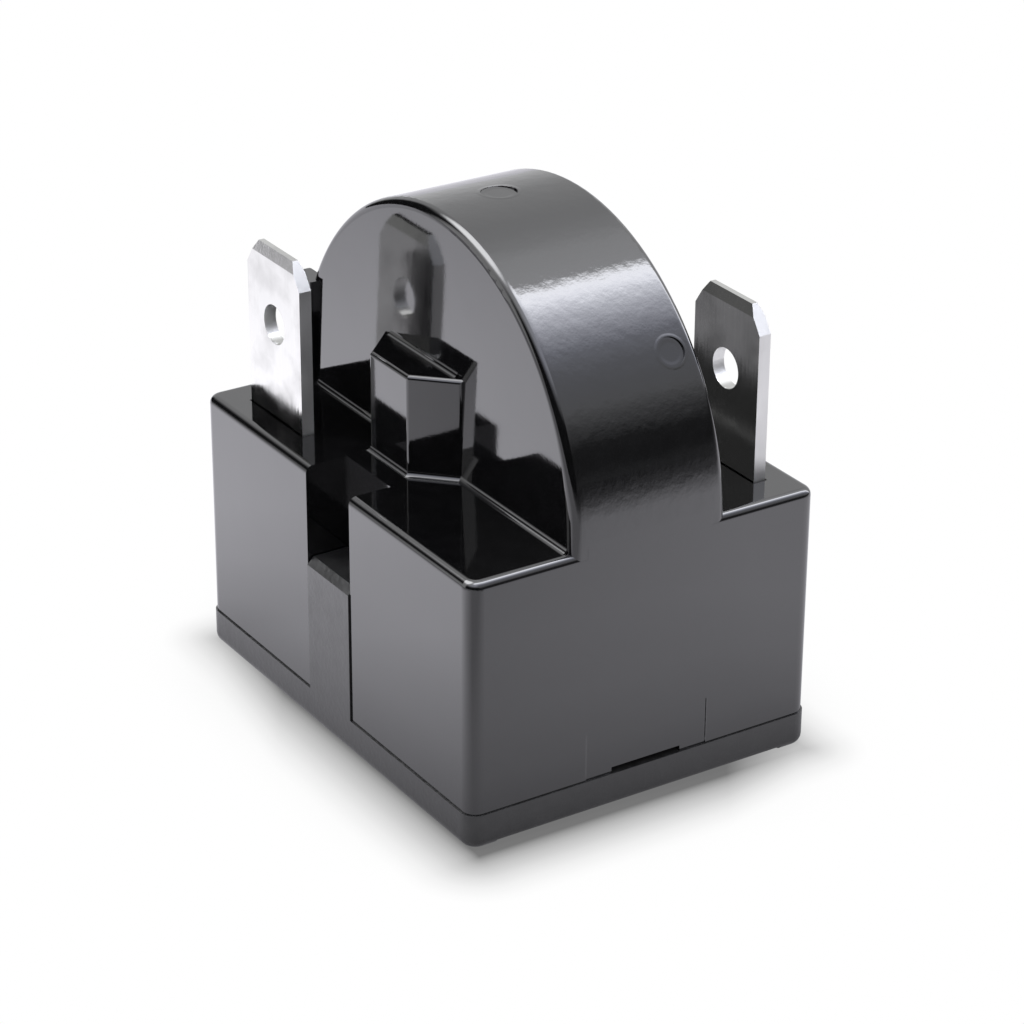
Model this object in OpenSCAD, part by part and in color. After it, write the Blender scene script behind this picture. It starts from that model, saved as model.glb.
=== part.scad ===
// Plug-on start relay for a small hermetic compressor.
// Origin at the middle of the underside, +Z up. X is the width, Y the depth, and -Y is the front.

/* [Housing block] */
// Width of the housing across X
body_w = 30.8; // [28.8:0.1:36]
// Depth of the housing along Y
body_d = 23.7; // [23.1:0.1:28]
// Height of the two terminal ledges above the underside
ledge_z = 17; // [16:0.25:20]
// Height of the seam between base plate and cover
seam_z = 2.3; // [2.1:0.1:3]
// Thickness of the moulded walls
wall = 1.3; // [1:0.1:1.5]
// Radius of the upright corners
corner_r = 0.9; // [0.6:0.1:1.4]
// Radius along the rims of the ledges
rim_r = 0.5; // [0.2:0.1:0.6]

/* [Half-round head] */
// Height of the head's axis above the ledges, where the round part runs out into the sides
axis_rise = 0.1; // [0.1:0.1:3]
// Distance from the middle plane to the foot of the head's front face
head_front = 5.15; // [4.9:0.05:5.6]
// Distance from the middle plane to the foot of the head's rear face
head_back = 5.4; // [5:0.05:5.8]
// Draft of the head's two faces in degrees, by which it slips out of the mould
head_draft = 1.5; // [0.5:0.1:2]
// Radius along the head's two round edges
head_edge_r = 0.6; // [0.3:0.1:0.9]
// Radius in the inner corners where head and post stand on the ledges
root_r = 0.35; // [0.1:0.05:0.4]
// Width of the square rib beside the left end of the head
rib_w = 2.15; // [1.6:0.05:2.4]
// Thickness of that rib
rib_t = 1.2; // [0.8:0.1:1.6]
// How far the rib stands forward of the head
rib_step = 0.3; // [0.1:0.05:0.5]
// Height of the rib above the ledge
rib_h = 6.65; // [4:0.05:8]
// Diameter of the gate mark on the crown
gate_d = 2.2; // [1.5:0.1:3]
// Depth of the gate mark
gate_depth = 0.12; // [0.05:0.01:0.3]
// Diameter of the ejector mark on the right of the crown
ejector_d = 1.8; // [1:0.1:2.5]
// Angle of the ejector mark above the horizontal
ejector_angle = 37; // [25:1:60]

/* [Key post] */
// Width of the post's front flat
post_w = 4.2; // [3:0.1:5.5]
// Distance from the slot's back to the post's front flat
post_setback = 1.65; // [1.4:0.05:2.5]
// How far the post's middle lies to the left of the slot's middle
post_offset = 0.4; // [-1:0.05:1]
// Height of the post above the ledge
post_h = 6.3; // [4:0.1:8]
// Radius along the post's edges
post_edge_r = 0.25; // [0.1:0.05:0.4]

/* [Front slot] */
// Width of the slot in the front wall
slot_w = 5; // [4:0.1:6]
// Depth of the slot
slot_depth = 2.8; // [2:0.05:3]
// Distance from the front tab's side to the slot
slot_gap = 3.8; // [2.5:0.05:5]
// Height above the seam of the base plate's tongue that fills the foot of the slot
tongue_h = 8.8; // [5:0.1:11]
// Bevel on the tongue's top front edge
tongue_bevel = 0.45; // [0.2:0.05:0.8]

/* [Snap sides] */
// Width of the shallow panel over each snap hook
panel_w = 8.4; // [6:0.1:10]
// Height of that panel above the seam
panel_h = 3; // [2:0.1:4]
// Depth of the panel
panel_depth = 0.05; // [0.05:0.05:0.3]
// Width of the slit at the seam
slit_w = 4.8; // [3:0.1:6]
// Height of the slit
slit_h = 0.35; // [0.2:0.05:0.5]
// Sideways place of panel, slit and hook
snap_y = 0.2; // [-1:0.1:1]
// Width of the snap hook
hook_w = 4.4; // [3:0.1:5]
// Height of the hook's arm above the seam
hook_h = 3.4; // [3:0.1:4]
// How far the hook's barb reaches into its catch
barb = 0.5; // [0.3:0.05:0.7]

/* [Base plate] */
// How far the base plate stands out beyond the cover
base_lip = 0.1; // [0:0.05:0.3]
// Radius along the plate's bottom edge
base_rim_r = 0.7; // [0.3:0.1:0.9]
// Height of the two runners under the plate
runner_h = 0.35; // [0.2:0.05:0.6]
// Width of each runner
runner_w = 1.8; // [1.4:0.1:3]
// Height of the locating rim above the seam
rim_h = 1.5; // [1.2:0.1:2]
// Thickness of the locating rim
rim_t = 1; // [0.8:0.1:1.2]

/* [Terminals] */
// Width of the plug-on tabs
tab_w = 6.3; // [5.8:0.1:6.3]
// Thickness of the strip that tabs and feet are cut from
strip_t = 0.8; // [0.5:0.1:0.8]
// Height of the tab above its ledge
tab_h = 10.8; // [8:0.1:13]
// Distance from the housing's side to a tab's middle
tab_side = 5.65; // [5.4:0.05:5.9]
// Distance from the housing's front or rear face to a tab's middle plane
tab_inset = 2.33; // [2.2:0.01:2.5]
// Width lost at each side of the tab's tip
tip_w = 1.1; // [0.6:0.1:1.4]
// Height of the tapered tip
tip_h = 1.6; // [1:0.1:2]
// Bevel on both faces of the tip
coin = 0.22; // [0.1:0.02:0.3]
// Diameter of the latch hole in the tab
tab_hole_d = 2.5; // [1.5:0.1:2.7]
// Distance from the tab's top edge to the latch hole's centre
tab_hole_drop = 4.7; // [4:0.1:5.5]
// Width of a terminal's foot beside its socket
foot_w = 4.3; // [4:0.1:4.6]

/* [Pin sockets] */
// Diameter of the compressor pins that the sockets take
pin_d = 3.2; // [2.4:0.1:3.3]
// Wall of the rolled socket
socket_wall = 0.5; // [0.3:0.05:0.55]
// Height of the sockets above the seam
socket_h = 6.6; // [5.6:0.1:6.8]
// Width of the socket's long seam
socket_seam = 0.6; // [0.3:0.1:1]
// Wall of the steel clip round the socket
clip_wall = 0.4; // [0.2:0.05:0.45]
// Height of the steel clip
clip_h = 3; // [2:0.1:3.2]
// Diameter of the rivets
rivet_d = 1.8; // [1.4:0.1:2]
// Diameter of the rivet heads
rivet_head_d = 3.2; // [2.6:0.1:3.4]
// Height of each rivet head
rivet_head_h = 0.5; // [0.3:0.05:0.7]

/* [Disc and springs] */
// Diameter of the ceramic disc
disc_d = 19; // [17:0.25:20]
// Thickness of the ceramic disc
disc_t = 2.6; // [2.2:0.1:3]
// How far the disc's lowest point lies above the tops of the sockets
disc_rise = 0.2; // [0.1:0.1:1]
// Thickness of the saddle across the disc
saddle_t = 4.4; // [4:0.1:4.8]
// How high the saddle's cheeks reach up the disc
cheek_h = 1.2; // [0.6:0.1:2]
// Thickness of the spring sheet
spring_t = 0.35; // [0.25:0.05:0.4]
// Width of the bowed spring
spring_w = 6; // [4:0.1:8]
// Height of the spring's bow from bend to bend
bow_h = 14; // [11:0.5:15]

/* [Clearances] */
// Gap at each side between parts that slide together
slip = 0.1; // [0.05:0.05:0.15]
// Gap between the compressor pin and its socket
pin_gap = 0.05; // [0.05:0.01:0.15]
// Gap between the socket's bore and the wider hole in the base plate
entry_gap = 0.35; // [0.3:0.05:0.4]
// Gap between the socket clips and the disc's saddle
saddle_gap = 0.4; // [0.2:0.1:0.8]
// Gap between the terminals' feet and the parts beside them
foot_gap = 0.2; // [0.1:0.05:0.3]

/* [Hidden] */
$fn = 64;
eps = 0.01;
front_y = -body_d / 2;
inner_w = body_w - 2 * wall;
inner_d = body_d - 2 * wall;
roof_z = ledge_z - wall;
tab_x = body_w / 2 - tab_side;
tab_y = body_d / 2 - tab_inset;
head_r = body_w / 2;
head_axis_z = ledge_z + axis_rise;
head_top_z = head_axis_z + head_r;
head_lean = (head_r + axis_rise) * tan(head_draft);
pocket_t = 2 * (head_front - head_lean - wall);
pocket_r = 0.3;
root_hair = 0.03;
slab_hair = 0.01;
slab_t = 2;
ejector_y = head_back - head_lean - head_edge_r - ejector_d / 2 - slip;
slot_x = tab_w / 2 - tab_x + slot_gap + slot_w / 2;
slot_back_y = front_y + slot_depth;
post_x = slot_x - post_offset;
post_face_y = slot_back_y + post_setback;
post_top_z = ledge_z + post_h;
tongue_w = slot_w - 2 * slip;
tongue_top_z = seam_z + tongue_h;
catch_h = 1.2;
lead_in = 0.6;
socket_ri = pin_d / 2 + pin_gap;
socket_ro = socket_ri + socket_wall;
clip_mouth = 2 * socket_seam;
foot_z = seam_z + rim_h;
ear_z = foot_z + strip_t;
ear_t = socket_wall;
ear_w = 3.6;
arm_z = ear_z + ear_t;
arm_w = 2;
clip_z = arm_z + spring_t;
foot_out_x = tab_x + tab_w / 2;
foot_in_x = tab_x - tab_w / 2;
foot_arm_x = inner_w / 2 - slip - rim_t - foot_gap;
foot_neck_x = foot_arm_x - foot_w;
foot_end_y = 1.9;
socket_x = foot_neck_x - foot_gap - clip_wall - socket_ro;
rivet_x = (foot_arm_x + foot_neck_x) / 2;
spring_back_y = pocket_t / 2;
bow_rise = spring_back_y - disc_t / 2;
bow_r = (bow_h * bow_h / 4 + bow_rise * bow_rise) / (2 * bow_rise);
pad_flat = 0.04;
tail_h = 1.5;
disc_chamfer = 0.2;
disc_z = seam_z + socket_h + disc_rise + disc_d / 2;
saddle_w = 2 * (socket_x - socket_ro - clip_wall - saddle_gap);
saddle_top_z = disc_z - disc_d / 2 + cheek_h;

// Points of a convex outline, counter-clockwise, moved inwards by r.
function prev(p, i) = p[(i + len(p) - 1) % len(p)];
function next(p, i) = p[(i + 1) % len(p)];
function unit(v) = v / norm(v);
function left_of(v) = [-v[1], v[0]];
function inset_corner(p, i, r) =
    let (a = unit(p[i] - prev(p, i)), b = unit(next(p, i) - p[i]))
    p[i] + r * (left_of(a) + left_of(b)) / (1 + a * b);

// A convex outline whose corners are true arcs of radius r.
module round_outline(p, r) {
    q = [for (i = [0:len(p) - 1]) inset_corner(p, i, r)];
    polygon(q);
    for (i = [0:len(p) - 1]) {
        n = r * left_of(unit(prev(q, i) - q[i]));
        translate(q[i]) circle(r);
        polygon([q[i], prev(q, i), prev(q, i) + n, q[i] + n]);
    }
}

module round_rect(w, d, r) {
    round_outline([[-w / 2, -d / 2], [w / 2, -d / 2], [w / 2, d / 2], [-w / 2, d / 2]], r);
}

// A block on z0 whose rounded top rim runs on round its four round corners.
module rimmed_block(w, d, z0, z1, corner, rim) {
    h = z1 - z0;
    x = w / 2 - corner;
    y = d / 2 - corner;
    translate([0, 0, z0]) {
        translate([0, y, 0]) rotate([90, 0, 0]) linear_extrude(2 * y) rounded_top(w, h, rim);
        translate([-x, 0, 0]) rotate([90, 0, 90]) linear_extrude(2 * x) rounded_top(d, h, rim);
        for (a = [0:90:270]) translate([a % 270 == 0 ? x : -x, a < 180 ? y : -y, 0]) rotate([0, 0, a])
            rotate_extrude(angle = 90) intersection() {
                rounded_top(2 * corner, h, rim);
                square([corner, h]);
            }
    }
}

// Upright section of width w and height h whose two top corners are round.
module rounded_top(w, h, r) {
    translate([-w / 2, 0]) square([w, h - r]);
    translate([-w / 2 + r, 0]) square([w - 2 * r, h]);
    for (s = [-1, 1]) translate([s * (w / 2 - r), h - r]) circle(r);
}

// Half-round solid about the Y axis between y0 and y1, with rounded rims, down to z0.
module half_round(r, y0, y1, z0, edge) {
    t = y1 - y0;
    translate([0, (y0 + y1) / 2, head_axis_z]) {
        intersection() {
            rotate([90, 0, 0]) rotate_extrude($fn = 128) intersection() {
                round_rect(2 * r, t, edge);
                translate([0, -t]) square([r, 2 * t]);
            }
            translate([-2 * r, -t, 0]) cube([4 * r, 2 * t, 2 * r]);
        }
        translate([0, 0, z0 - head_axis_z]) linear_extrude(head_axis_z - z0) round_rect(2 * r, t, edge);
    }
}

// The head: a straight middle, and at each end a slab that leans inwards by the draft.
// A slab is a hair smaller than the middle, so that their round faces never lie in each other.
module head() {
    y = [for (foot = [head_front, head_back]) foot - head_lean - head_edge_r];
    half_round(head_r, -y[0], y[1], roof_z, slab_hair * 5);
    for (m = [0, 1]) mirror([0, 1 - m, 0]) translate([0, y[m], head_axis_z]) rotate([head_draft, 0, 0])
        translate([0, 0, -head_axis_z])
            half_round(head_r - slab_hair, -slab_t, (head_lean + head_edge_r) * cos(head_draft), roof_z, head_edge_r);
}

// Half-hexagon key on the front of the head, with eased edges and small rounds at its foot and behind its top.
module key_post() {
    foot_y = -head_front;
    back_y = foot_y + wall / 2;
    w0 = post_w / 2;
    w1 = w0 + foot_y - post_face_y;
    translate([post_x, 0, 0]) {
        intersection() {
            translate([0, 0, roof_z]) linear_extrude(post_top_z - roof_z) round_outline([
                [-w0, post_face_y], [w0, post_face_y], [w1, foot_y], [w1, back_y],
                [-w1, back_y], [-w1, foot_y]], post_edge_r);
            post_sides(w0) eased_edge();
        }
        intersection() {
            translate([-body_w / 2, front_y, 0]) cube([body_w, back_y - front_y, body_w]);
            post_sides(w0) root_edge();
        }
    }
    root_strip(post_x, 2 * (w1 - root_r - post_edge_r), post_h * tan(head_draft) - head_front, post_top_z);
}

// Common space of three slabs, one square to each visible face of the post. The section given starts at a face.
module post_sides(reach) {
    translate([0, post_face_y + reach, 0]) intersection_for(a = [-45, 0, 45]) rotate([0, 0, a])
        translate([0, a == 0 ? -reach : -reach * sqrt(2), 0])
            rotate([90, 0, 90]) translate([0, 0, -body_w]) linear_extrude(2 * body_w) children();
}

// Section of a wall whose outer top edge is round.
module eased_edge() {
    square([body_d, post_top_z - post_edge_r]);
    translate([post_edge_r, 0]) square([body_d, post_top_z]);
    translate([post_edge_r, post_top_z - post_edge_r]) circle(post_edge_r);
}

// Section of the small round in the corner between a floor at height z and a wall that starts at zero.
// It begins and ends a hair inside the full quarter, where it would be infinitely thin.
module root_edge(z = ledge_z) {
    difference() {
        translate([root_hair - root_r, z - eps]) square([body_d, root_r - root_hair + eps]);
        translate([-root_r, z + root_r]) circle(root_r);
    }
}

// The same round as a straight strip of width w about x, in front of a wall at y.
module root_strip(x, w, y, z) {
    translate([x - w / 2, y, 0]) rotate([90, 0, 90]) linear_extrude(w) intersection() {
        root_edge(z);
        square([4 * root_r, 4 * z], center = true);
    }
}

// The same round along the front and the rear of the head.
module head_root() {
    w = 2 * (head_r - head_edge_r);
    root_strip(0, w, -head_front, ledge_z);
    mirror([0, 1, 0]) root_strip(0, w, -head_back, ledge_z);
}

// Square rib at the left end of the head.
module side_rib() {
    translate([-body_w / 2 + rib_w / 2, rib_t / 2 - head_front - rib_step, roof_z])
        linear_extrude(rib_h + wall) round_rect(rib_w, rib_t, rib_step / 2);
}

// Hollow of the block, kept clear of the wall behind the front slot.
module block_hollow() {
    difference() {
        translate([0, 0, seam_z - eps]) linear_extrude(roof_z - seam_z + eps)
            round_rect(inner_w, inner_d, corner_r / 2);
        slot_space(wall);
    }
}

// The front slot, grown at its sides and back by a wall or a gap.
module slot_space(grow) {
    translate([slot_x - slot_w / 2 - grow, front_y - wall, -eps])
        cube([slot_w + 2 * grow, slot_depth + wall + grow, ledge_z + wall]);
}

// Openings in the roof that the tabs stand in.
module tab_openings() {
    for (s = [-1, 1]) translate([s * tab_x, s * tab_y, ledge_z])
        cube([tab_w + 2 * slip, strip_t + 2 * slip, 4 * wall], center = true);
}

// Thin panel, slit and hidden catch on both sides of the cover.
module snap_cuts() {
    for (a = [0, 180]) rotate([0, 0, a]) translate([0, snap_y, seam_z]) {
        translate([body_w / 2 - panel_depth, -panel_w / 2, -eps]) cube([wall, panel_w, panel_h + eps]);
        translate([inner_w / 2 - eps, -slit_w / 2, -eps]) cube([2 * wall, slit_w, slit_h + eps]);
        translate([inner_w / 2 - eps, -hook_w / 2 - slip, hook_h - catch_h - slip])
            cube([barb + slip + eps, hook_w + 2 * slip, catch_h]);
    }
}

// Round marks that gate and ejector leave on the crown.
module mould_marks() {
    translate([-0.6, 0.1, head_top_z - gate_depth]) cylinder(d = gate_d, h = wall);
    translate([0, ejector_y, head_axis_z]) rotate([0, 90 - ejector_angle, 0])
        translate([0, 0, head_r - gate_depth]) cylinder(d = ejector_d, h = wall);
}

module cover() {
    color([0.05, 0.05, 0.055]) difference() {
        union() {
            rimmed_block(body_w, body_d, seam_z, ledge_z, corner_r, rim_r);
            head();
            head_root();
            key_post();
            side_rib();
        }
        block_hollow();
        half_round(head_r - wall, -pocket_t / 2, pocket_t / 2, roof_z - eps, pocket_r);
        slot_space(0);
        tab_openings();
        snap_cuts();
        mould_marks();
    }
}

// Plate with a bottom edge that is rounded and two runners along front and rear.
module plate() {
    difference() {
        translate([0, 0, seam_z]) mirror([0, 0, 1])
            rimmed_block(body_w + 2 * base_lip, body_d + 2 * base_lip, 0, seam_z, corner_r + base_lip, base_rim_r);
        translate([-body_w, runner_w - body_d / 2, -eps])
            cube([2 * body_w, body_d - 2 * runner_w, runner_h + eps]);
    }
}

// Rim that fits inside the cover, open where the slot's wall comes down.
module locating_rim() {
    w = inner_w - 2 * slip;
    d = inner_d - 2 * slip;
    difference() {
        translate([0, 0, seam_z - eps]) linear_extrude(rim_h + eps) difference() {
            round_rect(w, d, corner_r / 2);
            square([w - 2 * rim_t, d - 2 * rim_t], center = true);
        }
        slot_space(wall + slip);
    }
}

// Springy arm with a barb, one at each side.
module snap_hooks() {
    x1 = inner_w / 2 - slip;
    for (a = [0, 180]) rotate([0, 0, a])
        translate([0, snap_y + hook_w / 2, seam_z]) rotate([90, 0, 0]) linear_extrude(hook_w)
            polygon([[x1 - rim_t, -eps], [x1, -eps], [x1, hook_h - catch_h], [x1 + barb, hook_h - catch_h],
                [x1 + barb, hook_h - catch_h + slip], [x1, hook_h - 2 * slip], [x1 - rim_t, hook_h - 2 * slip]]);
}

// Upright tongue that closes the foot of the front slot.
module tongue() {
    y0 = front_y - base_lip;
    y1 = slot_back_y - slip;
    z1 = tongue_top_z;
    translate([slot_x - tongue_w / 2, 0, 0]) rotate([90, 0, 90]) linear_extrude(tongue_w)
        polygon([[y0, seam_z - rim_r], [y1, seam_z - rim_r], [y1, z1], [y0 + tongue_bevel, z1],
            [y0, z1 - tongue_bevel]]);
}

// Saddle with two cheeks that holds the disc upright.
module saddle() {
    difference() {
        translate([-saddle_w / 2, -saddle_t / 2, seam_z - eps])
            cube([saddle_w, saddle_t, saddle_top_z - seam_z + eps]);
        translate([0, 0, disc_z]) rotate([90, 0, 0])
            cylinder(r = disc_d / 2 + slip, h = disc_t + 2 * slip, center = true, $fn = 128);
    }
}

// Holes in the plate with a lead-in for the compressor pins.
module pin_entries() {
    r = socket_ri + entry_gap;
    for (s = [-1, 1]) translate([s * socket_x, 0, 0]) {
        translate([0, 0, -eps]) cylinder(r = r, h = seam_z + 2 * eps);
        translate([0, 0, runner_h - eps]) cylinder(r1 = r + lead_in, r2 = r, h = lead_in + eps);
    }
}

module base_plate() {
    color([0.09, 0.09, 0.095]) difference() {
        union() {
            plate();
            locating_rim();
            snap_hooks();
            tongue();
            saddle();
        }
        pin_entries();
    }
}

module ptc_disc() {
    c = disc_chamfer;
    r = disc_d / 2;
    h = disc_t / 2;
    color([0.3, 0.3, 0.31]) translate([0, 0, disc_z]) rotate([90, 0, 0]) rotate_extrude($fn = 128)
        polygon([[0, -h], [r - c, -h], [r, c - h], [r, h - c], [r - c, h], [0, h]]);
}

// The pieces of the start side stand at the front left. The run side is the same, turned half round.
module run_side() {
    rotate([0, 0, 180]) children();
}

// Section of tab and foot, bent from one strip, in the YZ plane.
module terminal_section() {
    y0 = -tab_y - strip_t / 2;
    top = ledge_z + tab_h;
    polygon([[y0, foot_z + strip_t], [y0 + strip_t, foot_z + strip_t], [y0 + strip_t, top - 3 * coin],
        [y0 + strip_t - coin, top], [y0 + coin, top], [y0, top - 3 * coin]]);
    translate([y0 + strip_t, foot_z]) square([foot_end_y - y0 - strip_t, strip_t]);
    intersection() {
        translate([y0 + strip_t, foot_z + strip_t]) circle(strip_t);
        translate([y0, foot_z]) square([strip_t, strip_t]);
    }
}

module tab_outline() {
    top = ledge_z + tab_h;
    w = tab_w / 2;
    polygon([[-w, foot_z - 1], [w, foot_z - 1], [w, top - tip_h], [w - tip_w, top], [tip_w - w, top],
        [-w, top - tip_h]]);
}

module foot_outline() {
    y0 = -tab_y - strip_t;
    y1 = -spring_back_y - arm_w;
    polygon([[-foot_out_x, y0], [-foot_in_x, y0], [-foot_in_x, y1 - 1], [-foot_neck_x, y1 + 1],
        [-foot_neck_x, foot_end_y], [-foot_arm_x, foot_end_y], [-foot_arm_x, y1 + 0.5], [-foot_out_x, y1]]);
}

module terminal() {
    color([0.8, 0.8, 0.78]) difference() {
        intersection() {
            translate([-body_w, 0, 0]) rotate([90, 0, 90]) linear_extrude(2 * body_w) terminal_section();
            translate([-tab_x, body_d, 0]) rotate([90, 0, 0]) linear_extrude(2 * body_d) tab_outline();
            linear_extrude(2 * ledge_z) foot_outline();
        }
        translate([-tab_x, -tab_y, ledge_z + tab_h - tab_hole_drop]) rotate([90, 0, 0])
            cylinder(d = tab_hole_d, h = 4 * strip_t, center = true);
        rivet_hole();
    }
}

module rivet_hole() {
    translate([-rivet_x, 0, 0]) cylinder(d = rivet_d + slip, h = ledge_z);
}

module start_terminal() {
    terminal();
}

module run_terminal() {
    run_side() terminal();
}

// Rolled sleeve with an open seam and a flat ear for the rivet.
module socket() {
    color([0.8, 0.65, 0.3]) difference() {
        union() {
            translate([-socket_x, 0, seam_z]) cylinder(r = socket_ro, h = socket_h);
            translate([-foot_arm_x + slip, -ear_w / 2, ear_z])
                cube([foot_arm_x - slip - socket_x, ear_w, ear_t]);
        }
        translate([-socket_x, 0, 0]) cylinder(r = socket_ri, h = ledge_z);
        translate([-socket_x, -socket_seam / 2, 0]) cube([2 * socket_ro, socket_seam, ledge_z]);
        rivet_hole();
    }
}

module start_socket() {
    socket();
}

module run_socket() {
    run_side() socket();
}

// Steel band round the sleeve, open at the same side as its seam.
module socket_clip() {
    color([0.6, 0.62, 0.64]) translate([-socket_x, 0, clip_z]) linear_extrude(clip_h) difference() {
        circle(socket_ro + clip_wall);
        circle(socket_ro);
        translate([0, -clip_mouth / 2]) square([2 * socket_ro, clip_mouth]);
    }
}

module start_socket_clip() {
    socket_clip();
}

module run_socket_clip() {
    run_side() socket_clip();
}

// Upright section of the spring in the YZ plane: leg, bow and tail.
module spring_section() {
    y0 = -spring_back_y;
    face_y = -disc_t / 2;
    z0 = disc_z - bow_h / 2;
    z1 = disc_z + bow_h / 2;
    translate([y0, arm_z]) square([spring_t, z0 - arm_z + spring_t]);
    translate([y0, z1 - spring_t]) square([spring_t, tail_h]);
    intersection() {
        translate([face_y + pad_flat - bow_r, disc_z]) difference() {
            circle(bow_r, $fn = 128);
            circle(bow_r - spring_t, $fn = 128);
        }
        translate([y0, z0 - spring_t]) square([face_y - y0, bow_h + 2 * spring_t]);
    }
}

// Bowed contact spring whose arm is clamped under the rivet.
module contact_spring() {
    y0 = -spring_back_y - arm_w;
    y1 = spring_t - spring_back_y;
    color([0.65, 0.66, 0.68]) {
        translate([-spring_w / 2, 0, 0]) rotate([90, 0, 90]) linear_extrude(spring_w) spring_section();
        translate([0, 0, arm_z]) linear_extrude(spring_t) difference() {
            union() {
                translate([slip - foot_arm_x, y0]) square([foot_arm_x - slip + spring_w / 2, y1 - y0]);
                translate([slip - foot_arm_x, y0])
                    square([foot_arm_x - slip - foot_neck_x, ear_w / 2 - y0]);
            }
            translate([-rivet_x, 0]) circle(d = rivet_d + slip);
        }
    }
}

module start_spring() {
    contact_spring();
}

module run_spring() {
    run_side() contact_spring();
}

// Round-headed rivets that clamp foot, ear and spring arm.
module terminal_rivets() {
    stack = strip_t + ear_t + spring_t;
    color([0.75, 0.6, 0.3]) for (s = [-1, 1]) translate([s * rivet_x, 0, foot_z]) {
        cylinder(d = rivet_d, h = stack);
        for (z = [-rivet_head_h / 2, stack + rivet_head_h / 2]) translate([0, 0, z]) rivet_head();
    }
}

module rivet_head() {
    rotate_extrude() intersection() {
        round_rect(rivet_head_d, rivet_head_h, rivet_head_h / 3);
        translate([0, -rivet_head_h]) square([rivet_head_d, 2 * rivet_head_h]);
    }
}

cover();
base_plate();
ptc_disc();
start_spring();
run_spring();
start_terminal();
run_terminal();
start_socket();
run_socket();
start_socket_clip();
run_socket_clip();
terminal_rivets();
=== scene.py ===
# %% [markdown]
# A plug-on start relay, dressed for its portrait
# The relay is a small block of black moulded plastic with a half-round head for a ceramic disc,
# two tinned push-on tabs and two brass pin sockets underneath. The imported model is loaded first.
# Its solids have the true shape already, so this script is mostly about light and finish.

import math

import bpy
from mathutils import Matrix, Vector


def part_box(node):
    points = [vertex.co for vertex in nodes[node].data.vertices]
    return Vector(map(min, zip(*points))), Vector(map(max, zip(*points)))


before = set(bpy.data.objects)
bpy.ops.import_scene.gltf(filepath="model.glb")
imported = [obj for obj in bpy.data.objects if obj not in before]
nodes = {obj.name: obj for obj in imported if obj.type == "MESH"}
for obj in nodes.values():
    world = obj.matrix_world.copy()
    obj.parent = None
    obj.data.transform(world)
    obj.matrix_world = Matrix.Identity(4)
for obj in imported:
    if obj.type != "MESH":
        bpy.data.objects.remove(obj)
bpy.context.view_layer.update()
MM = 0.001
print("pieces:", ", ".join(sorted(nodes)))

# %% [markdown]
# The camera looks at the relay from its front right corner, from a little above. A long lens
# from 203 mm away keeps the upright edges nearly parallel, as in a product photograph. The
# direction is given as two angles, so that it can be read as one would say it.

# %% Camera
VIEW_TURN = math.radians(57.244)
VIEW_RISE = math.radians(25.894)
VIEW_ROLL = math.radians(0.338)
VIEW_DISTANCE = 203.0 * MM
VIEW_AIM = Vector((1.251, -0.066, 12.686)) * MM
LENS_PER_WIDTH = 3.3089


def add_camera():
    """A camera that looks from VIEW_TURN to the right of the front and VIEW_RISE above it."""
    away = Vector((
        math.sin(VIEW_TURN) * math.cos(VIEW_RISE),
        -math.cos(VIEW_TURN) * math.cos(VIEW_RISE),
        math.sin(VIEW_RISE),
    ))
    data = bpy.data.cameras.new("camera")
    data.lens = data.sensor_width * LENS_PER_WIDTH
    data.clip_start = 1 * MM
    camera = bpy.data.objects.new("camera", data)
    turn = away.to_track_quat("Z", "Y").to_matrix().to_4x4()
    place = Matrix.Translation(VIEW_AIM + away * VIEW_DISTANCE)
    camera.matrix_world = place @ turn @ Matrix.Rotation(VIEW_ROLL, 4, "Z")
    bpy.context.scene.collection.objects.link(camera)
    bpy.context.scene.camera = camera
    return camera


camera = add_camera()
print("camera at", [round(c / MM, 1) for c in camera.location], "mm")

# %% [markdown]
# Shader maths reads best as plain sums. `Number` wraps one socket of a node tree, and each
# operator on it adds a Math node. `Nodes.add` places any other node: its settings come first,
# because some of them change which sockets it has, and then its values and links.


# %% Shader maths
class Number:
    """A number that flows from one node to the next."""

    def __init__(self, socket):
        self.socket = socket

    def combine(self, operation, first, second):
        tree = self.socket.id_data
        node = tree.nodes.new("ShaderNodeMath")
        node.operation = operation
        for slot, value in zip(node.inputs, (first, second)):
            connect(tree, slot, value)
        return Number(node.outputs[0])

    def __add__(self, other):
        return self.combine("ADD", self, other)

    def __radd__(self, other):
        return self.combine("ADD", other, self)

    def __sub__(self, other):
        return self.combine("SUBTRACT", self, other)

    def __rsub__(self, other):
        return self.combine("SUBTRACT", other, self)

    def __mul__(self, other):
        return self.combine("MULTIPLY", self, other)

    def __rmul__(self, other):
        return self.combine("MULTIPLY", other, self)

    def __truediv__(self, other):
        return self.combine("DIVIDE", self, other)

    def __pow__(self, other):
        return self.combine("POWER", self, other)


def connect(tree, slot, value):
    """Puts a number, a colour or a link into an input socket."""
    if isinstance(value, Number):
        value = value.socket
    if isinstance(value, bpy.types.NodeSocket):
        tree.links.new(value, slot)
    else:
        slot.default_value = value


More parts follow.
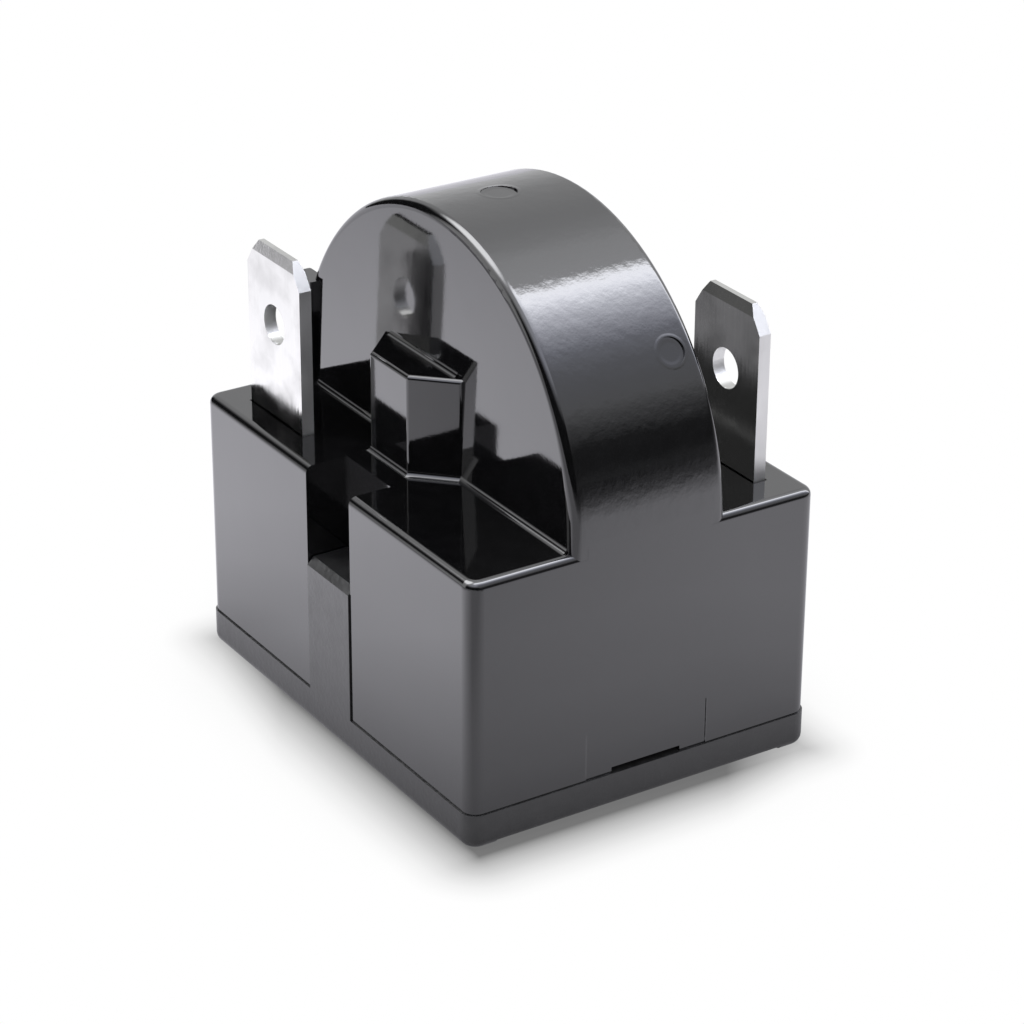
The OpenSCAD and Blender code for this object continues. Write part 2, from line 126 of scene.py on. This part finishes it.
class Nodes:
    """A node tree that is written from top to bottom."""

    def __init__(self, owner):
        owner.use_nodes = True
        self.tree = owner.node_tree
        self.tree.nodes.clear()

    def add(self, kind, settings=None, values=None):
        """Adds a node of a kind, with its settings first and then its sockets."""
        node = self.tree.nodes.new("ShaderNode" + kind)
        for name, setting in (settings or {}).items():
            if name == "stops":
                self.set_stops(node.color_ramp.elements, setting)
            else:
                setattr(node, name, setting)
        for name, value in (values or {}).items():
            connect(self.tree, node.inputs[name], value)
        return node

    def set_stops(self, elements, stops):
        """Gives a ramp its stops: pairs of a place and a grey."""
        while len(elements) > 1:
            elements.remove(elements[-1])
        for i, (place, grey) in enumerate(stops):
            stop = elements[0] if i == 0 else elements.new(place)
            stop.position = place
            stop.color = (grey, grey, grey, 1)

    def ramp(self, value, stops, blend="LINEAR"):
        """A number that follows a curve through the stops."""
        node = self.tree.nodes.new("ShaderNodeValToRGB")
        node.color_ramp.interpolation = blend
        self.set_stops(node.color_ramp.elements, stops)
        connect(self.tree, node.inputs["Fac"], value)
        return Number(node.outputs["Color"])

    def finish(self, shader):
        """Ends the tree in its output node."""
        kind = "World" if self.tree == bpy.context.scene.world.node_tree else "Material"
        self.add("Output" + kind, None, {"Surface": shader})


print("shader helpers are ready")

# %% [markdown]
# Glossy black plastic has next to no colour of its own: what one sees is the studio in it.
# So the studio matters more than the paint. A photographer builds it from lamps, cloth and
# felt. Here the world shader is that tent, because each part of it can be placed by angle
# and fade softly, and lamps would leave hard shapes in such a skin.
# The room is white to the camera. To a mirror it has a long soft strip overhead and dark
# felt low down on the right. The strip gives the white stripe on the head, the felt the
# black one. The front is dim. A patch high up at the left draws the light lines on the
# rims, a faint glow at the front left lights the tab, and the strip is a little cool.

# %% Room
scene = bpy.context.scene
scene.view_settings.view_transform = "Standard"
scene.world = bpy.data.worlds.new("studio")
STRIP_LEVEL = 7.0
FILL_LEVEL = 0.7


def build_room():
    """White for the camera, a plain fill for matt surfaces, and a tent for mirrors."""
    room = Nodes(scene.world)
    place = room.add("TexCoord").outputs["Generated"]
    axes = room.add("SeparateXYZ", None, {"Vector": place}).outputs
    x, y, z = (Number(axes[i]) for i in range(3))
    turn = x.combine("ARCTAN2", z, x) / (2 * math.pi) + 0.5
    behind = room.ramp(turn, [
        (0.0, 0.14), (0.10, 0.12), (0.20, 0.01), (0.494, 0.016), (0.517, 0.006), (0.542, 0.008),
        (0.564, 0.037), (0.589, 0.08), (0.611, 0.085), (0.633, 0.097), (0.658, 0.143),
        (0.681, 0.28), (0.703, 0.48), (0.717, 0.66), (0.728, 0.88), (0.741, 1.0), (0.748, 0.7),
        (0.756, 0.25), (0.797, 0.214), (0.819, 0.171), (0.842, 0.143), (0.864, 0.13),
        (0.933, 0.117), (1.0, 0.14),
    ])
    front = room.ramp(z, [(0.0, 0.001), (0.45, 0.002), (0.6, 0.08), (0.75, 0.2), (1.0, 0.25)])
    side = room.ramp((y + z * 0.35) * 0.5 + 0.5, [(0.475, 0.0), (0.6, 1.0)], "EASE")
    above = room.ramp(x * -0.45 + y * -0.3 + z * 0.84, [(0.9, 0.0), (0.98, 0.6)], "EASE")
    glow = room.ramp(y * -1.0, [(0.56, 0.0), (0.66, 0.15)]) * room.ramp(x * -1.0, [(0.2, 0.0), (0.4, 1.0)])
    tent = (front + (behind - front) * side + above + glow) * STRIP_LEVEL
    cool = room.ramp(turn, [(0.58, 0.3), (0.66, 1.0), (0.72, 0.6), (0.76, 0.25), (0.9, 0.1)])
    tint = room.add("Mix", {"data_type": "RGBA"}, {
        "Factor": cool, 6: (1, 1, 1, 1), 7: (0.94, 0.97, 1.13, 1),
    })
    rays = room.add("LightPath").outputs
    mirror = room.add("Background", None, {"Color": tint.outputs[2], "Strength": tent})
    white = room.add("Background", None, {"Color": (1, 1, 1, 1), "Strength": 1.0})
    fill = room.add("Background", None, {"Color": (1, 1, 1, 1), "Strength": FILL_LEVEL})
    shine = room.add("MixShader", None, {
        "Fac": Number(rays["Is Glossy Ray"]) + rays["Is Transmission Ray"],
        1: fill.outputs[0], 2: mirror.outputs[0],
    })
    seen = room.add("MixShader", None, {
        "Fac": rays["Is Camera Ray"], 1: shine.outputs[0], 2: white.outputs[0],
    })
    room.finish(seen.outputs[0])


build_room()
print("room: strip", STRIP_LEVEL, "fill", FILL_LEVEL)

# %% [markdown]
# The floor is a white card. It has to look pure white and still hold the relay's soft
# shadow. A plain matt card turns grey far out, so this one shines by itself, and the shadow
# is painted: its shade follows the distance to the footprint, times a mild ambient occlusion.
# That keeps the painted shadow short and dark at the foot, as a tent of white cloth makes it.
# In the plastic the card is darker close to the relay and towards the right, a painted shade,
# and brightest to the front left, a painted pool of the key light. That painted light fades out between 45
# and 120 mm.

# %% Floor
FLOOR_REACH = 1.5
SHADOW_REACH = 5 * MM
MIRROR_REACH = 20 * MM
low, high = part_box("base_plate")
HALF_W = high.x - 0.4 * MM
HALF_D = high.y - 0.4 * MM


def paint_floor():
    """White card with a painted contact shadow; in mirrors, painted shade near the relay and a painted pool
    of key light.
    """
    card = bpy.data.materials.new("white_card")
    nodes_of = Nodes(card)
    place = nodes_of.add("TexCoord").outputs["Object"]
    axes = nodes_of.add("SeparateXYZ", None, {"Vector": place}).outputs
    x, y = Number(axes[0]), Number(axes[1])
    off_x = x - 0.4 * MM
    gap_x = (off_x * off_x) ** 0.5 - (HALF_W + 0.4 * MM)
    gap_y = (y * y) ** 0.5 - HALF_D
    across = x * 0.541 + y * 0.841
    gap_x = gap_x.combine("MAXIMUM", gap_x, 0.0)
    gap_y = gap_y.combine("MAXIMUM", gap_y, 0.0)
    gap = (gap_x * gap_x + gap_y * gap_y) ** 0.5
    outer = nodes_of.ramp((across * across) ** 0.5 / (20 * MM), [(0.67, 0.0), (0.88, 0.26)])
    crowding = nodes_of.add("AmbientOcclusion", {"samples": 12}, {"Distance": 2 * SHADOW_REACH})
    soft = nodes_of.ramp(crowding.outputs["AO"], [(0.4, 0.85), (0.85, 1.0)])
    # Painted shadow: the card's brightness falls with the distance to the footprint, narrower at the outer
    # corners.
    shade = soft * nodes_of.ramp(gap / SHADOW_REACH + outer, [
        (0.0, 0.2), (0.08, 0.36), (0.18, 0.5), (0.28, 0.6), (0.38, 0.68), (0.48, 0.77),
        (0.68, 0.9), (0.88, 0.975), (1.0, 1.0),
    ])
    # Painted shade seen in mirrors: the card is darker close to the relay.
    near = nodes_of.ramp(gap / MIRROR_REACH, [
        (0.0, 0.38), (0.1, 0.56), (0.3, 0.74), (0.6, 0.9), (1.0, 1.0),
    ])
    # Painted pool of key light to the front left, seen only in mirrors; it fades with distance, and off and
    # end paint shade towards the right.
    key = nodes_of.ramp((x * -0.843 + y * -0.538) / (50 * MM) + 0.5, [(0.35, 0.0), (0.9, 0.31)])
    reach = nodes_of.add("VectorMath", {"operation": "LENGTH"}, {0: place}).outputs["Value"]
    fade = nodes_of.ramp(Number(reach) / (200 * MM), [(0.22, 1.0), (0.33, 0.86), (0.6, 0.0)])
    off = nodes_of.ramp((x * 0.54 + y * -0.84) / (80 * MM), [(0.0, 0.0), (0.5, 0.25)])
    end = nodes_of.ramp((x * 0.843 + y * 0.538) / (500 * MM), [
        (0.16, 1.0), (0.22, 0.65), (0.28, 0.4), (0.4, 0.2), (1.0, 0.12),
    ])
    card_level = (key * fade + 0.5 - off) * end * near * 2.0
    rays = nodes_of.add("LightPath").outputs
    seen = nodes_of.add("Emission", None, {"Strength": shade})
    mirrored = nodes_of.add("Emission", None, {"Color": (1, 0.99, 1.06, 1), "Strength": card_level})
    matt = nodes_of.add("BsdfDiffuse", None, {"Color": (0.8, 0.8, 0.8, 1)})
    clear = nodes_of.add("BsdfTransparent")
    shine = nodes_of.add("MixShader", None, {
        "Fac": Number(rays["Is Glossy Ray"]) + rays["Is Transmission Ray"],
        1: matt.outputs[0], 2: mirrored.outputs[0],
    })
    upper = nodes_of.add("MixShader", None, {
        "Fac": rays["Is Camera Ray"], 1: shine.outputs[0], 2: seen.outputs[0],
    })
    under = nodes_of.add("NewGeometry").outputs["Backfacing"]
    both = nodes_of.add("MixShader", None, {"Fac": under, 1: upper.outputs[0], 2: clear.outputs[0]})
    nodes_of.finish(both.outputs[0])
    return card


bpy.ops.object.select_all(action="DESELECT")
bpy.ops.mesh.primitive_plane_add(size=2 * FLOOR_REACH, location=(0, 0, 0))
floor = bpy.context.object
floor.name = "floor"
floor.data.materials.append(paint_floor())
print("floor:", 2 * FLOOR_REACH, "m wide")

# %% [markdown]
# Two soft boxes light the matt and metal surfaces. They are large and far enough away to
# leave no hard edge, and their level leaves a white card just below white.

# %% Lamps


def add_softbox(name, place, aim, size, watts):
    """A square area lamp that faces a point."""
    data = bpy.data.lights.new(name, "AREA")
    data.size = size
    data.energy = watts
    lamp = bpy.data.objects.new(name, data)
    away = Vector(place) - Vector(aim)
    lamp.matrix_world = Matrix.Translation(place) @ away.to_track_quat("Z", "Y").to_matrix().to_4x4()
    lamp.visible_glossy = False
    scene.collection.objects.link(lamp)
    return lamp


add_softbox("key", (-0.25, -0.3, 0.35), (0, 0, 0.015), 0.3, 1.6)
add_softbox("side", (0.4, -0.05, 0.3), (0, 0, 0.015), 0.3, 0.8)
print("two soft boxes")

# %% [markdown]
# The cover is moulded in a glossy black thermoset. Up close its skin is not a perfect
# mirror: it waves a little where the plastic shrank, most of all on the head's crown, and
# carries fine dust and hairline scuffs. None of it is deeper than a hundredth of a
# millimetre, so one Bump node holds it all, and the scuffs also dull the gloss. Two soft
# lips stand round the gate mark on the crown and the ejector mark beside it.
# The crown and the two sides are meant as one clean sweep, but the thin panels stand a
# hair proud of them. So the bump starts there from the sweep's own direction, which keeps
# the hairline steps quiet, and the lower ends of the panels' edges are painted a lighter grey,
# a painted reflection where they would show black. The base is the same plastic with a coarser grain and
# less gloss.


# %% Plastics
HEAD_Z = 17.1


def crown_and_sides(paint, place):
    """How far a point lies on the crown or a side, the direction that this skin faces, and where a painted
    reflection goes.
    """
    axes = paint.add("SeparateXYZ", None, {"Vector": place}).outputs
    x, y, z = (Number(axes[i]) / MM for i in range(3))
    up = z - HEAD_Z
    radius = (x * x + up * up) ** 0.5
    along = y - 0.125
    crown = paint.ramp(radius - 15.0, [(0.35, 0.0), (0.38, 1.0), (0.42, 1.0), (0.45, 0.0)])
    crown = crown * paint.ramp(up, [(0.1, 0.0), (0.4, 1.0)])
    crown = crown * paint.ramp((along * along) ** 0.5 / 10.0, [(0.44, 1.0), (0.47, 0.0)])
    side = paint.ramp((x * x) ** 0.5 - 15.0, [(0.33, 0.0), (0.34, 1.0)])
    side = side * paint.ramp(z / 20.0, [(0.12, 0.0), (0.13, 1.0), (0.8, 1.0), (0.82, 0.0)])
    side = side * paint.ramp((y * y) ** 0.5 / 20.0, [(0.5, 1.0), (0.52, 0.0)])
    radial = paint.add("CombineXYZ", None, {"X": x, "Z": up}).outputs[0]
    radial = paint.add("VectorMath", {"operation": "NORMALIZE"}, {0: radial}).outputs[0]
    outward = paint.add("CombineXYZ", None, {"X": x.combine("SIGN", x, 0.0)}).outputs[0]
    skin = paint.add("NewGeometry").outputs["Normal"]
    for mask, facing in ((crown, radial), (side, outward)):
        skin = paint.add("Mix", {"data_type": "VECTOR"}, {0: mask, 4: skin, 5: facing}).outputs[1]
    # Painted reflection: a lighter grey on the lower ends of the panels' edges, which would otherwise show
    # black.
    turned = y * x.combine("SIGN", x, 0.0) - 0.2
    edge = (turned * turned) ** 0.5 - 4.2
    painted_reflection = paint.ramp(edge * edge, [(0.0, 1.0), (0.006, 0.0)]) * side
    painted_reflection = painted_reflection * paint.ramp(z / 20.0, [(0.26, 1.0), (0.27, 0.0)])
    return crown, skin, painted_reflection


def moulded_plastic(name, colour, ior, gloss, dulled, wave, grain, grain_scale, rings=()):
    """Moulded plastic. wave and grain are bump strengths, gloss and dulled two roughnesses."""
    skin = bpy.data.materials.new(name)
    paint = Nodes(skin)
    place = paint.add("TexCoord").outputs["Object"]
    slow = paint.add("TexNoise", None, {"Vector": place, "Scale": 260.0, "Detail": 2.0})
    fine = paint.add("TexNoise", None, {"Vector": place, "Scale": grain_scale, "Detail": 3.0})
    cloud = paint.add("TexNoise", None, {"Vector": place, "Scale": 900.0, "Detail": 4.0, "Roughness": 0.6})
    ripple = paint.add("TexNoise", None, {"Vector": place, "Scale": 1100.0, "Detail": 3.0, "Roughness": 0.6})
    dust = paint.add("TexVoronoi", {"feature": "F1"}, {"Vector": place, "Scale": 1400.0})
    speck = paint.ramp(dust.outputs["Distance"], [(0.0, 1.0), (0.09, 0.0)])
    patch = paint.ramp(cloud.outputs["Fac"], [(0.4, 0.0), (0.7, 1.0)])
    crown, skin_normal, painted_reflection = crown_and_sides(paint, place)
    height = Number(slow.outputs["Fac"]) * wave + Number(ripple.outputs["Fac"]) * crown * (wave * 1.6)
    height = height + Number(fine.outputs["Fac"]) * grain + speck * (grain * 0.6)
    for centre, radius in rings:
        reach = paint.add("VectorMath", {"operation": "DISTANCE"}, {0: place, 1: centre}).outputs["Value"]
        lip = paint.ramp(Number(reach) / (2 * radius), [
            (0.3, 0.0), (0.45, 1.0), (0.52, 1.0), (0.62, 0.0),
        ], "EASE")
        height = height + lip * 0.6
    bump = paint.add("Bump", None, {
        "Height": height, "Strength": 1.0, "Distance": 0.02 * MM, "Normal": skin_normal,
    })
    tint = paint.add("Mix", {"data_type": "RGBA"}, {
        "Factor": patch,
        6: (*colour, 1),
        7: (*[c * 1.5 for c in colour], 1),
    })
    # The painted reflection lightens the panels' lower edges to a dark grey.
    tint = paint.add("Mix", {"data_type": "RGBA"}, {
        "Factor": painted_reflection, 6: tint.outputs[2], 7: (0.03, 0.03, 0.032, 1),
    })
    surface = paint.add("BsdfPrincipled", None, {
        "Base Color": tint.outputs[2],
        "Roughness": gloss + patch * (dulled - gloss),
        "IOR": ior,
        "Normal": bump.outputs["Normal"],
    })
    paint.finish(surface.outputs[0])
    return skin


GATE = (Vector((-0.6, 0.1, 32.5)) * MM, 1.1 * MM)
EJECTOR = (Vector((12.3, 3.39, 26.37)) * MM, 0.9 * MM)
cover_plastic = moulded_plastic(
    "cover_plastic", (0.0025, 0.0025, 0.0028), 2.0, 0.05, 0.075, 0.5, 0.06, 5200.0, (GATE, EJECTOR))
base_plastic = moulded_plastic("base_plastic", (0.012, 0.012, 0.0125), 1.8, 0.3, 0.4, 0.5, 1.0, 3000.0)
print("plastics:", cover_plastic.name, base_plastic.name)

# %% [markdown]
# Tabs, sockets and springs are cut from rolled strip. Rolling leaves fine streaks along
# the strip, so the noise behind bump and roughness is stretched along Z. The faces mirror
# the dim room, while the punch leaves the narrow side edges rough, so that they catch light
# from everywhere. A mask from the direction of a face makes those edges rougher, and also paints them a
# brighter colour, a painted highlight.


# %% Metals
def rolled_metal(name, colour, gloss, dulled, streak):
    """Rolled strip with streaks along Z, a few smudges, and side edges painted brighter as a highlight."""
    metal = bpy.data.materials.new(name)
    paint = Nodes(metal)
    place = paint.add("TexCoord").outputs["Object"]
    along = paint.add("Mapping", {"vector_type": "POINT"}, {"Vector": place, "Scale": (1, 1, 0.06)})
    lines = paint.add("TexNoise", None, {"Vector": along.outputs[0], "Scale": 4200.0, "Detail": 3.0})
    cloud = paint.add("TexNoise", None, {"Vector": place, "Scale": 420.0, "Detail": 4.0})
    smudge = paint.ramp(cloud.outputs["Fac"], [(0.45, 0.0), (0.72, 1.0)])
    bump = paint.add("Bump", None, {
        "Height": Number(lines.outputs["Fac"]) * streak,
        "Strength": 1.0,
        "Distance": 0.01 * MM,
    })
    tint = paint.add("Mix", {"data_type": "RGBA"}, {
        "Factor": smudge,
        6: (*colour, 1),
        7: (*[c * 0.82 for c in colour], 1),
    })
    facing = paint.add("SeparateXYZ", None, {"Vector": paint.add("TexCoord").outputs["Normal"]}).outputs[0]
    # Side edges, found by the direction of a face: rougher, and painted a brighter colour as a highlight.
    rough_edge_and_highlight = paint.ramp(Number(facing) * Number(facing), [(0.4, 0.0), (0.6, 1.0)])
    bright = paint.add("Mix", {"data_type": "RGBA"}, {
        "Factor": rough_edge_and_highlight,
        6: tint.outputs[2],
        7: (*[min(c * 1.5, 0.93) for c in colour], 1),
    })
    surface = paint.add("BsdfPrincipled", None, {
        "Base Color": bright.outputs[2],
        "Metallic": 1.0,
        "Roughness": gloss + smudge * (dulled - gloss) + rough_edge_and_highlight * 0.35,
        "Normal": bump.outputs["Normal"],
    })
    paint.finish(surface.outputs[0])
    return metal


tinned_brass = rolled_metal("tinned_brass", (0.63, 0.63, 0.61), 0.12, 0.24, 0.9)
bare_brass = rolled_metal("bare_brass", (0.83, 0.62, 0.28), 0.22, 0.4, 0.4)
spring_steel = rolled_metal("spring_steel", (0.58, 0.58, 0.59), 0.25, 0.4, 0.6)
print("metals:", tinned_brass.name, bare_brass.name, spring_steel.name)

# %% [markdown]
# The disc is a fired ceramic pill. Both faces are silvered up to a bare margin, so one
# mask from the distance to the disc's axis switches the same material between the two.

# %% Ceramic
low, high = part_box("ptc_disc")
DISC_Z = (low.z + high.z) / 2
SILVER_R = (high.x - low.x) / 2 - 0.8 * MM
FACE_Y = high.y - 0.05 * MM


def silvered_ceramic():
    """Grey ceramic with silver on its two faces."""
    body = bpy.data.materials.new("silvered_ceramic")
    paint = Nodes(body)
    place = paint.add("TexCoord").outputs["Object"]
    axes = paint.add("SeparateXYZ", None, {"Vector": place}).outputs
    x, y, z = (Number(axes[i]) for i in range(3))
    up = z - DISC_Z
    radius = (x * x + up * up) ** 0.5
    inside = radius.combine("LESS_THAN", radius, SILVER_R)
    outer = y.combine("GREATER_THAN", y * y, FACE_Y * FACE_Y)
    silver = inside * outer
    grit = paint.add("TexNoise", None, {"Vector": place, "Scale": 3000.0, "Detail": 5.0})
    bump = paint.add("Bump", None, {"Height": grit.outputs["Fac"], "Strength": 0.6, "Distance": 0.02 * MM})
    tint = paint.add("Mix", {"data_type": "RGBA"}, {
        "Factor": silver, 6: (0.12, 0.12, 0.125, 1), 7: (0.75, 0.75, 0.74, 1),
    })
    surface = paint.add("BsdfPrincipled", None, {
        "Base Color": tint.outputs[2],
        "Metallic": silver,
        "Roughness": 0.75 - silver * 0.35,
        "Normal": bump.outputs["Normal"],
    })
    paint.finish(surface.outputs[0])
    return body


ceramic = silvered_ceramic()
print("ceramic: silver to", round(SILVER_R / MM, 2), "mm")

# %% [markdown]
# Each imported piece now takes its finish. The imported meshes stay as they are.

# %% Finishes
FINISHES = {
    "cover": cover_plastic,
    "base_plate": base_plastic,
    "ptc_disc": ceramic,
    "start_spring": spring_steel,
    "run_spring": spring_steel,
    "start_terminal": tinned_brass,
    "run_terminal": tinned_brass,
    "start_socket": bare_brass,
    "run_socket": bare_brass,
    "start_socket_clip": spring_steel,
    "run_socket_clip": spring_steel,
    "terminal_rivets": bare_brass,
}
for name, finish in FINISHES.items():
    for slot in nodes[name].material_slots:
        slot.material = finish
print("finished:", len(FINISHES), "pieces")

# %% [markdown]

# %% End
print("the relay is dressed")
